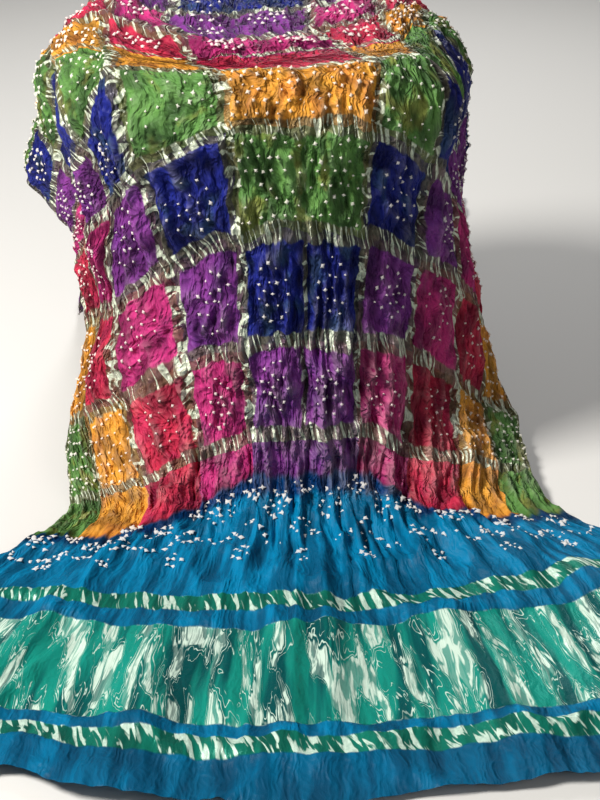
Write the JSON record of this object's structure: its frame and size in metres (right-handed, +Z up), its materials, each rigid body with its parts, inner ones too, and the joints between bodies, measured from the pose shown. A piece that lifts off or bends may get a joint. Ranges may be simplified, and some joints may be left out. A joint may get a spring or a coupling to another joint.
{
  "type": "bandhani cloth draped over a round stool",
  "caption": "Crinkled tie-dyed cloth with metallic checks and a blue end border, draped over a plain round padded stool and fanned out on the floor.",
  "frame": {"origin": "middle of the bottom of the whole object's box, on the floor", "axes": "+Z up, the long front fall of the cloth towards -Y, +X to the right seen from the front"},
  "size_m": [0.8624, 1.394, 0.4645],
  "materials": {
    "dyed_cloth": "crinkled satin weave with metallic thread",
    "padding": "plain woven cover",
    "wood": "oiled"
  },
  "bodies": {
    "root": {"cloth": "dyed_cloth", "seat_pad": "padding", "seat_board": "wood", "leg_front_left": "wood", "leg_front_right": "wood", "leg_back_right": "wood", "leg_back_left": "wood", "rail_front": "wood", "rail_right": "wood", "rail_back": "wood", "rail_left": "wood"}
  },
  "joints": []
}
